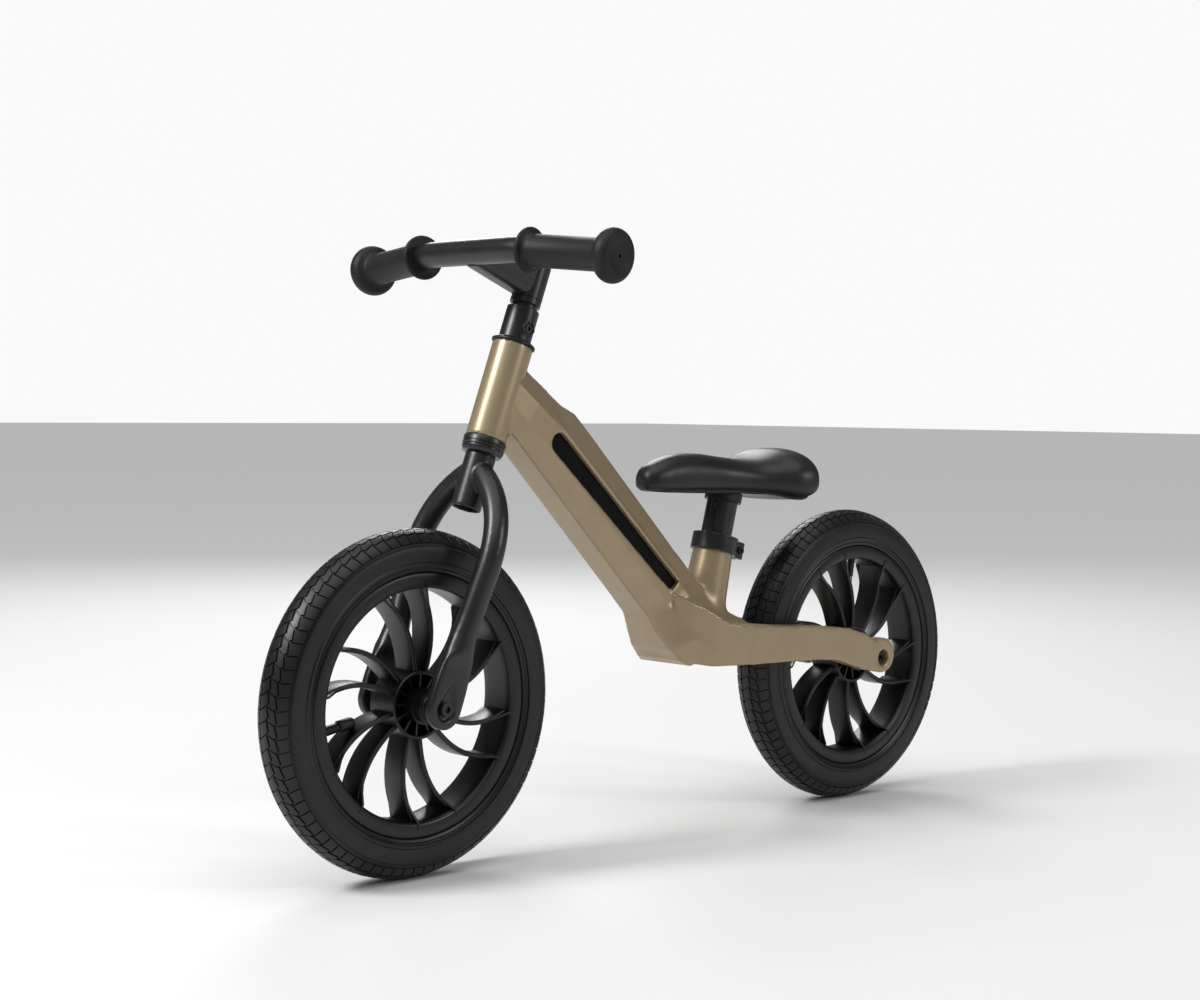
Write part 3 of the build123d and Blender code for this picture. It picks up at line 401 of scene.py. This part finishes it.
# Wheels: a turned rim and hub, blade spokes that sweep as a quarter sine, fins in the hub, ribs at the rim.
wheelLook = {"spokePairs": 6, "spread": 11.7, "sweep": 16.0, "thickness": 4.2, "halfWidth": 12.5,
             "edgeRound": 1.4, "rimInner": 96.5, "rimSink": 1.5, "hub": 28.5, "hubSink": 2.0, "spokeRows": 22,
             "rimSteps": 200, "hubSteps": 72, "ribThickness": 2.0, "ribBase": 12.0,
             "rib": ((80, 12.2), (88, 14.5), (96, 18.0), (102, 18.9), (107, 18.1)),
             "fins": 12, "finRadii": (13.0, 26.0), "finHalfThick": 0.9, "finHalfWidth": 13.0, "finTurn": 15.0}
rimProfile = [(17.3, 109.9), (17.9, 109.4), (18.3, 108.0), (18.4, 104.0), (18.2, 100.0), (17.7, 98.4),
              (16.6, 97.2), (15.0, 96.6), (9.0, 96.2), (0, 96.0), (-9.0, 96.2), (-15.0, 96.6),
              (-16.6, 97.2), (-17.7, 98.4), (-18.2, 100.0), (-18.4, 104.0), (-18.3, 108.0), (-17.9, 109.4),
              (-17.3, 109.9), (-15.6, 109.9), (-15.05, 109.3), (-15.05, 101.5), (-9.0, 101.5), (-7.5, 99.2),
              (7.5, 99.2), (9.0, 101.5), (15.05, 101.5), (15.05, 109.3), (15.6, 109.9)]
hubHalf = [(15.2, 28.5), (16.0, 27.7), (16.0, 26.2), (15.4, 25.5), (3.0, 25.0), (3.0, 14.5), (20.0, 14.3),
           (20.3, 15.4), (22.0, 15.4), (22.3, 13.8), (27.0, 13.6), (27.3, 14.6), (29.0, 14.6), (29.3, 13.5),
           (35.4, 13.2), (36.0, 12.7), (36.0, 11.05), (29.0, 11.05), (29.0, 8.5)]
hubProfile = hubHalf + [(-y, r) for y, r in reversed(hubHalf)]


# Spoke: at each radius the middle line stands at angle = middle - sweep sin(90 t), t from 0 at the rim to 1 at
# the hub; the section is a thin rounded rectangle square to that line.
def spokeLine(radii, middle, look):
    rim = look["rimInner"] + look["rimSink"]
    t = np.clip((rim - radii) / (rim - look["hub"]), 0, 1)
    angle = np.radians(middle - look["sweep"] * np.sin(np.radians(90 * t)))
    line = np.stack([-radii * np.cos(angle), radii * np.sin(angle)], axis=1)
    along = np.gradient(line, radii, axis=0)
    along /= np.linalg.norm(along, axis=1)[:, None]
    return line, np.stack([-along[:, 1], along[:, 0]], axis=1)


# A body along a spoke's line: its corners lie across the line by across and along the wheel's axis by height.
def stripBody(axle, line, normal, across, height):
    plan = line[:, None, :] + across[None, :, None] * normal[:, None, :]
    height = np.broadcast_to(height, plan.shape[:2])
    return stackedRings(axle + np.stack([plan[..., 0], height, plan[..., 1]], axis=-1))


def wheelBodies(axle, firstPair, look):
    bodies = [turnedRing(rimProfile, axle, sideways, look["rimSteps"]),
              turnedRing(hubProfile, axle, sideways, look["hubSteps"])]
    outline = roundedOutline(look["thickness"] / 2, look["halfWidth"], look["edgeRound"])
    spokeRadii = np.linspace(look["hub"] - look["hubSink"], look["rimInner"] + look["rimSink"],
                             look["spokeRows"])
    ribRadii, ribTop = np.array(look["rib"], float).T
    half, raised = look["ribThickness"] / 2 * np.array([1, -1, -1, 1]), np.array([0, 0, 1, 1])
    for pair in range(look["spokePairs"]):
        for side in (1, -1):
            middle = firstPair + 360 / look["spokePairs"] * pair + side * look["spread"]
            bodies.append(stripBody(axle, *spokeLine(spokeRadii, middle, look), outline[:, 0], outline[:, 1]))
            ribLine = spokeLine(ribRadii, middle, look)
            for face in (1, -1):
                height = face * (look["ribBase"] + (ribTop - look["ribBase"])[:, None] * raised)
                bodies.append(stripBody(axle, *ribLine, half, height))
    thick, wide = look["finHalfThick"], look["finHalfWidth"]
    corners = np.array([(thick, wide), (-thick, wide), (-thick, -wide), (thick, -wide)])
    for angle in np.radians(firstPair + look["finTurn"] + 360 / look["fins"] * np.arange(look["fins"])):
        out, across = (np.array([-math.cos(angle), 0, math.sin(angle)]),
                       np.array([math.sin(angle), 0, math.cos(angle)]))
        flat = corners[:, :1] * across + corners[:, 1:] * sideways
        bodies.append(stackedRings(axle + np.stack([flat + out * radius for radius in look["finRadii"]])))
    return bodies


firstPairs = {"front": 40.0, "rear": 51.8}  # how far each wheel has rolled, degrees
for prefix, axle in (("front", frontAxle), ("rear", rearAxle)):
    rider = f"{prefix}_wheel"
    addPiece(f"{prefix}Tyre", [tyreBody(axle, tyreLook)], rider, finishes["tyre_rubber"],
             [f"{prefix}_tyre"], tyreLook["crease"])
    addPiece(f"{prefix}Wheel", wheelBodies(axle, firstPairs[prefix], wheelLook), rider,
             finishes["wheel_plastic"], [f"{prefix}_rim", f"{prefix}_hub", f"{prefix}_spokes"])

# Fork: two round tubes that bend out from the steerer, flatten into plates and end in round tips.
forkLook = {"crown": 207.0, "shoulder": (55.2, 175.1), "foot": (44.0, 62.0), "bendReach": 60.0, "tube": 10.4,
            "bendRows": 15, "topRows": 3, "topShare": 0.7, "legRows": 7, "legShare": 0.9,
            "plateRows": ((58, 34, 9), (28, 0, 6)), "tipRows": 12, "tipTurn": (0.1, 1.54), "plateTop": 34.0,
            "tipMiddle": 44.75, "tipHalfThick": 4.75, "tipHalfWide": 17.0, "flattening": (33.0, 50.0),
            "widening": (12.0, 80.0), "squareness": 3.0, "around": 48, "voxel": 1.0, "rounds": 4, "crease": 50,
            "dimpleRadius": 10.5, "dimpleDepth": 2.6, "dimpleTop": 25.0, "dimpleBank": 5.0, "dimplePower": 0.7,
            "dimpleRim": 0.6, "outerFace": 1.5,
            "crownTube": ((170.5, 11.0), (170.5, 12.4), (171.5, 13.2), (218.8, 13.2), (218.8, 11.0)),
            "crownSteps": 64}


# Blade's middle line in (across, up) from the axle: straight out of the crown, a curve with both ends on the
# straights, straight down, then the upright plate and its tip.
def bladeLine(look):
    crown, shoulder, foot = (np.array(p, float) for p in ((0.0, look["crown"]), look["shoulder"], look["foot"]))
    inWay = (crown - shoulder) / np.linalg.norm(crown - shoulder)
    outWay = (foot - shoulder) / np.linalg.norm(foot - shoulder)
    t = np.linspace(0, 1, look["bendRows"])[:, None]
    bend = shoulder + look["bendReach"] * ((1 - t)**2 * inWay + t**2 * outWay)
    top = crown + (bend[0] - crown) * np.linspace(0.0, look["topShare"], look["topRows"])[:, None]
    leg = foot + (bend[-1] - foot) * np.linspace(look["legShare"], 0, look["legRows"])[:, None]
    tip = -look["tipHalfWide"] * np.sin(np.linspace(*look["tipTurn"], look["tipRows"]))
    height = np.concatenate([np.linspace(*rows) for rows in look["plateRows"]] + [tip])
    across = np.interp(height, [0, look["plateTop"], foot[1]], [look["tipMiddle"]] * 2 + [foot[0]])
    return np.vstack([top, bend, leg, np.stack([across, height], axis=1)])


# Blade: sections are superellipses |a|^n + |b|^n = 1 whose half sizes and power change down the blade; the
# last ones shrink as sqrt(R2 - d2), which rounds the tip.
def bladeBody(side, look):
    line = bladeLine(look)
    along = np.gradient(line, axis=0)
    along /= np.linalg.norm(along, axis=1)[:, None]
    height = line[:, 1]
    flat = 1 - smoothStep(*look["flattening"], height)
    wide = look["tube"] + (look["tipHalfWide"] - look["tube"]) * (1 - smoothStep(*look["widening"], height))
    wide = np.where(height < 0, np.sqrt(np.maximum(look["tipHalfWide"]**2 - height**2, 1.0)), wide)
    thick = look["tube"] + (look["tipHalfThick"] - look["tube"]) * flat
    power = 2 / (2 + look["squareness"] * flat)
    phi = np.linspace(0, 2 * math.pi, look["around"], endpoint=False)
    ahead = wide[:, None] * np.sign(np.cos(phi)) * np.abs(np.cos(phi)) ** power[:, None]
    out = thick[:, None] * np.sign(np.sin(phi)) * np.abs(np.sin(phi)) ** power[:, None]
    normal = np.stack([-along[:, 1], along[:, 0]], axis=1)
    across = side * (line[:, :1] + out * normal[:, :1])
    up = line[:, 1:] + out * normal[:, 1:]
    return stackedRings(frontAxle + across[..., None] * sideways + up[..., None] * steerUp
                        + ahead[..., None] * steerAhead)


# Dimple round each axle bolt: a circle drawn out to a point above, its bowl deepening by a smooth step.
def dimpleDepth(skin, look):
    offset = skin - frontAxle
    up, ahead = offset @ steerUp, offset @ steerAhead
    reach = look["dimpleRadius"] * (1 - np.clip(up / look["dimpleTop"], 0, 1)) ** look["dimplePower"]
    reach = np.where(up < 0, np.sqrt(np.maximum(reach**2 - up**2, 0)), reach)
    bowl = smoothStep(look["dimpleRim"], -look["dimpleBank"], np.abs(ahead) - reach)
    onFace = (np.abs(offset[:, 1]) > look["tipMiddle"] + look["outerFace"]) & (np.abs(up) < look["dimpleTop"])
    return look["dimpleDepth"] * bowl * onFace


crownTube = turnedRing(forkLook["crownTube"], frontAxle, steerUp, forkLook["crownSteps"])
skin, quads, triangles = castSkin([bladeBody(1, forkLook), bladeBody(-1, forkLook), crownTube],
                                  forkLook["voxel"], forkLook["rounds"])
skin[:, 1] -= np.sign(skin[:, 1]) * dimpleDepth(skin, forkLook)
addPiece("forkBlades", [(skin, quads, triangles)], "fork", finishes["satin_black"],
         ["fork_blade_left", "fork_blade_right"], forkLook["crease"])

# Headset: turned rings with eased edges and the lower cup's groove, as (height above the axle, radius).
headsetSteps = 96
headset = {
    "upperCover": ("upper_headset_cover", "frame", "black_plastic",
                   ((319.5, 17.6), (319.5, 18.7), (319.9, 19.2), (321.3, 19.2), (321.7, 18.8), (322.2, 17.2),
                    (323.0, 16.6), (323.3, 16.0), (323.3, 13.2), (319.5, 13.2))),
    "lowerCup": ("lower_headset_cup", "frame", "satin_black",
                 ((225.0, 13.2), (225.0, 18.0), (225.5, 18.6), (227.0, 18.6), (227.3, 17.9), (228.1, 17.9),
                  (228.4, 18.6), (232.0, 18.6), (232.9, 18.2), (232.9, 13.2))),
    "crownRace": ("crown_race", "fork", "satin_black",
                  ((219.4, 12.7), (219.4, 16.2), (219.9, 16.9), (223.8, 18.2), (224.6, 18.0), (224.6, 12.7))),
}
for name, (node, rider, slotName, profile) in headset.items():
    addPiece(name, [turnedRing(profile, frontAxle, steerUp, headsetSteps)], rider, finishes[slotName],
             [node])

# Stem arm and seat clamp: skins over their CAD solids.
skinCrease = 50
skinLooks = {
    "stemArm": ("stem_arm", "handlebar", "satin_black", 0.8, 4),
    "seatCollar": ("seat_clamp_collar", "frame", "satin_black", 0.55, 3),
}
for name, (node, rider, slotName, voxel, rounds) in skinLooks.items():
    addPiece(name, [castSkin([nodeBody(node)], voxel, rounds)], rider, finishes[slotName], [node],
             skinCrease)

# Stem clamp: the hexagonal seat round its bolt, a low ring of six sides standing on the collar.
clampSeatLook = {"height": 334.5, "outer": 7.4, "inner": 5.6, "low": 12.2, "high": 14.9, "bevel": 0.5,
                 "turn": 30.0}


# Seat: corners at six even angles, carried round a rectangular section whose outer edge is bevelled.
def clampSeatBody(look):
    angle = np.radians(look["turn"] + 60 * np.arange(6))
    way = np.cos(angle)[:, None] * steerUp + np.sin(angle)[:, None] * steerAhead
    section = ((look["outer"], look["low"]), (look["outer"], look["high"] - look["bevel"]),
               (look["outer"] - look["bevel"], look["high"]), (look["inner"], look["high"]),
               (look["inner"], look["low"]))
    points = np.stack([way * radius + sideways * out for radius, out in section], axis=1).reshape(-1, 3)
    return points + steerPoint(look["height"]), gridQuads(6, len(section), True, True), np.zeros((0, 3), int)


addPiece("stemClampSeat", [clampSeatBody(clampSeatLook)], "fork", finishes["satin_black"])

# Seat post: a tube with a flat-bottomed groove down its front, closed at both ends, and a small round button.
postLook = {"radius": 14.7, "low": -104.0, "high": 50.5, "rows": 12, "around": 144,
            "groove": 1.5, "halfGroove": 27.0, "bank": 7.0, "facing": 6.0,
            "buttonTurn": 24.0, "buttonHeight": 35.0, "buttonSteps": 24,
            "button": ((12.0, 0.02), (12.0, 2.4), (13.7, 2.4), (14.1, 2.0), (14.0, 1.5), (13.4, 0.02))}
seatAhead = np.array([math.cos(seatTilt), 0.0, math.sin(seatTilt)])


# Post: at each angle the radius is the tube's less the groove, which ends by a smooth step on either side.
def postBodies(look):
    angle = np.linspace(0, 360, look["around"], endpoint=False)
    away = np.abs((angle - look["facing"] + 180) % 360 - 180)
    radius = look["radius"] - look["groove"] * (1 - smoothStep(
        look["halfGroove"] - look["bank"], look["halfGroove"], away))
    turn = np.radians(angle)[:, None]
    ring = radius[:, None] * (np.cos(turn) * seatAhead + np.sin(turn) * sideways)
    heights = np.linspace(look["low"], look["high"], look["rows"])
    buttonTurn = math.radians(look["buttonTurn"])
    buttonWay = math.cos(buttonTurn) * seatAhead + math.sin(buttonTurn) * sideways
    return [stackedRings(seatFoot + ring + heights[:, None, None] * seatUp),
            turnedRing(look["button"], seatFoot + look["buttonHeight"] * seatUp, buttonWay,
                       look["buttonSteps"])]


addPiece("seatPost", postBodies(postLook), "saddle", finishes["satin_black"], ["seat_post"])

# Valves, as (radius from the wheel's middle, own radius): a rubber stem and a cap in front; at the back a
# rubber stem and a threaded metal end. Each wheel's angle is how far its valve stands round from the front.
valveAngles = {"front": 190.0, "rear": 81.8}
valveSteps = 36
threadLook = {"start": 63.0, "end": 78.0, "pitch": 0.45, "radius": 2.6, "depth": 0.35}
threadRows = np.arange(threadLook["start"], threadLook["end"], threadLook["pitch"])
thread = [(r, threadLook["radius"] + threadLook["depth"] * (k % 2)) for k, r in enumerate(threadRows)]
valves = {
    "frontValveStem": ("front", "front_valve_stem", "black_plastic",
                       ((98.5, 0.02), (98.5, 5.4), (96.6, 5.2), (95.2, 4.3), (70.0, 3.9), (69.0, 3.6),
                        (69.0, 0.02))),
    "frontValveCap": ("front", "front_valve_cap", "black_plastic",
                      ((74.0, 0.02), (74.0, 4.9), (73.4, 5.2), (61.0, 4.9), (59.4, 4.2), (59.0, 3.4),
                       (59.0, 0.02))),
    "rearValveStem": ("rear", "rear_valve_stem", "black_plastic",
                      ((98.5, 0.02), (98.5, 5.0), (96.6, 4.8), (95.2, 3.6), (78.6, 3.3), (78.0, 2.9),
                       (78.0, 0.02))),
    "rearValveCap": ("rear", "rear_valve_cap", "valve_metal",
                     ((threadLook["start"], 0.02), *thread, (threadLook["end"], 0.02))),
}
for name, (wheel, node, slotName, profile) in valves.items():
    turn = math.radians(valveAngles[wheel])
    way = np.array([-math.cos(turn), 0.0, math.sin(turn)])
    addPiece(name, [turnedRing(profile, frontAxle if wheel == "front" else rearAxle, way, valveSteps)],
             f"{wheel}_wheel", finishes[slotName], [node])

# Grips: a turned sleeve between a thin inner ring and a thick end bumper with a small hole in its face.
gripLook = {"barMiddle": (213.7, 0.0, 522.0), "bendAt": 52.0, "way": (-15.5, 110.0, -9.5), "start": 67.0,
            "end": 163.0, "radius": 13.8, "bore": 11.1, "steps": 72, "beadMiddle": 17.0, "bead": 2.4,
            "endRadius": 22.5, "bumperAlong": 8.0, "bumperAcross": 6.5, "bumperTurn": (2.6, 0.25),
            "neck": ((5.2, 1.8), (7.5, 0.4), (10, 0)), "shoulder": ((-19, 0), (-17.2, 0.8), (-16, 2.4)),
            "face": ((0, 14.0), (-0.8, 12.6), (-0.8, 4.0), (-0.8, 1.7), (-4.5, 1.6), (-4.5, 0.02), (-7, 0.02)),
            "boreEnd": 7.0}


# Profile of a grip in (along, radius) from the bore outwards: a round bead at the inner end, a neck, the
# sleeve, a bumper with a round edge, and an end face with a small hole that closes on the axis.
def gripProfile(start, length, look):
    bead = [(start + look["bead"] * (1 - math.cos(a)), look["beadMiddle"] + look["bead"] * math.sin(a))
            for a in np.linspace(0, math.pi, 9)]
    bumper = [(length - look["bumperAlong"] * (1 - math.cos(a)),
               look["endRadius"] - look["bumperAcross"] * (1 - math.sin(a)))
              for a in np.linspace(*look["bumperTurn"], 14)]
    return [(length - look["boreEnd"], look["bore"]), (start, look["bore"]), *bead,
            *[(start + along, look["radius"] + rise) for along, rise in look["neck"]],
            *[(length + along, look["radius"] + rise) for along, rise in look["shoulder"]], *bumper,
            *[(length + along, radius) for along, radius in look["face"]]]


for side, name in ((1, "Left"), (-1, "Right")):
    way = np.array(gripLook["way"]) * (1, side, 1)
    way /= np.linalg.norm(way)
    origin = np.array(gripLook["barMiddle"]) + (0, side * gripLook["bendAt"], 0)
    span = abs(way[1])
    profile = gripProfile((gripLook["start"] - gripLook["bendAt"]) / span,
                          (gripLook["end"] - gripLook["bendAt"]) / span, gripLook)
    addPiece(f"grip{name}", [turnedRing(profile, origin, way, gripLook["steps"])], "handlebar",
             finishes["grip_rubber"], [f"grip_{name.lower()}"])

# Saddle pad: stations from nose to tail as x, half width, bottom, top.
saddleLook = {"stations": ((9.5, 1.0, 321.5, 325.5), (8.6, 7.5, 318.0, 331.5), (4, 13.0, 316.5, 338),
                           (-6, 16.5, 315.5, 343), (-25, 19, 314.5, 348.5), (-54, 22, 314, 350),
                           (-90, 27, 313.5, 346.5), (-120, 37, 311.5, 344), (-141, 48.5, 308.5, 348),
                           (-158, 56, 304.5, 353.5), (-172, 57, 305, 354), (-183, 48, 311, 348.5),
                           (-190, 31, 320.0, 340), (-192.5, 3.0, 328.5, 332.0)),
              "widest": 0.36, "upperPower": 2.3, "lowerPower": 2.9, "rings": 120, "around": 72, "crease": 60}


# Pad section: y = half width cos^(2/n), z = height of the widest line plus or minus the rise sin^(2/n), with
# one power n above that line and a squarer one below it.
def saddleBody(look):
    x, half, bottom, top = smoothCurve(look["stations"], look["rings"]).T[:, :, None]
    phi = np.linspace(0, 2 * math.pi, look["around"], endpoint=False)
    n = np.where(np.sin(phi) > 0, look["upperPower"], look["lowerPower"])
    line = bottom + look["widest"] * (top - bottom)
    y = half * np.sign(np.cos(phi)) * np.abs(np.cos(phi)) ** (2 / n)
    rise = np.where(np.sin(phi) > 0, top - line, line - bottom)
    z = line + rise * np.sign(np.sin(phi)) * np.abs(np.sin(phi)) ** (2 / n)
    return stackedRings(np.stack([x + 0 * y, y, z], axis=-1))


pad = addPiece("saddlePad", [saddleBody(saddleLook)], "saddle", finishes["saddle_skin"],
               ["saddle_pad"], saddleLook["crease"])

# Floor, lights and camera, in metres.
studioLook = {"world": 0.15, "backdrop": 0.95, "floorShade": 0.72, "floorRoughness": 0.9, "floorHalf": 30.0,
              "sun": 1.7, "sunWidth": 70.0, "sunTilt": (-8.0, 12.0, 0.0), "lookAt": (0.0, 0.0, 0.27),
              "lights": (("key", (2.0, -0.5, 1.9), 0.7, 46.0), ("side", (-1.2, 2.4, 1.3), 0.6, 16.0),
                         ("back", (-1.4, -2.0, 1.8), 1.2, 26.0))}
world = bpy.data.worlds.new("studio")
world.use_nodes = True
glow = world.node_tree.nodes["Background"]
glow.inputs["Color"].default_value = (1, 1, 1, 1)
seen = world.node_tree.nodes.new("ShaderNodeLightPath")  # the camera sees a pale backdrop, the bike less light
level = world.node_tree.nodes.new("ShaderNodeMapRange")
level.inputs["To Min"].default_value = studioLook["world"]
level.inputs["To Max"].default_value = studioLook["backdrop"]
world.node_tree.links.new(seen.outputs["Is Camera Ray"], level.inputs["Value"])
world.node_tree.links.new(level.outputs["Result"], glow.inputs["Strength"])
bpy.context.scene.world = world
bpy.context.scene.view_settings.view_transform = "Standard"

reach = studioLook["floorHalf"]
floorMesh = bpy.data.meshes.new("floor")
floorMesh.from_pydata([(-reach, -reach, 0), (reach, -reach, 0), (reach, reach, 0), (-reach, reach, 0)], [],
                      [(0, 1, 2, 3)])
paper = bpy.data.materials.new("paper")
paper.use_nodes = True
paperShader = paper.node_tree.nodes["Principled BSDF"]
paperShader.inputs["Base Color"].default_value = (*[studioLook["floorShade"]] * 3, 1)
paperShader.inputs["Roughness"].default_value = studioLook["floorRoughness"]
floorMesh.materials.append(paper)
floor = bpy.data.objects.new("floor", floorMesh)
bpy.context.scene.collection.objects.link(floor)

sun = bpy.data.lights.new("sun", "SUN")
sun.energy, sun.angle = studioLook["sun"], math.radians(studioLook["sunWidth"])
overhead = bpy.data.objects.new("sun", sun)
overhead.rotation_euler = [math.radians(tilt) for tilt in studioLook["sunTilt"]]
bpy.context.scene.collection.objects.link(overhead)
for name, place, width, power in studioLook["lights"]:
    lamp = bpy.data.lights.new(name, "AREA")
    lamp.shape, lamp.size, lamp.energy = "DISK", width, power
    light = bpy.data.objects.new(name, lamp)
    light.location = place
    light.rotation_euler = (Vector(studioLook["lookAt"]) - Vector(place)).to_track_quat("-Z", "Y").to_euler()
    bpy.context.scene.collection.objects.link(light)

cameraLook = {"place": (1.3591, 1.3526, 0.3948), "target": (0.062, 0.0, 0.309), "roll": 0.58, "lens": 62.64,
              "sensor": 36.0}
lens = bpy.data.cameras.new("camera")
lens.lens, lens.sensor_width = cameraLook["lens"], cameraLook["sensor"]
camera = bpy.data.objects.new("camera", lens)
camera.location = cameraLook["place"]
camera.rotation_mode = "QUATERNION"
aim = (Vector(cameraLook["target"]) - Vector(cameraLook["place"])).to_track_quat("-Z", "Y")
camera.rotation_quaternion = aim @ Quaternion((0, 0, 1), math.radians(cameraLook["roll"]))
bpy.context.scene.collection.objects.link(camera)
bpy.context.scene.camera = camera
print("studio ready")
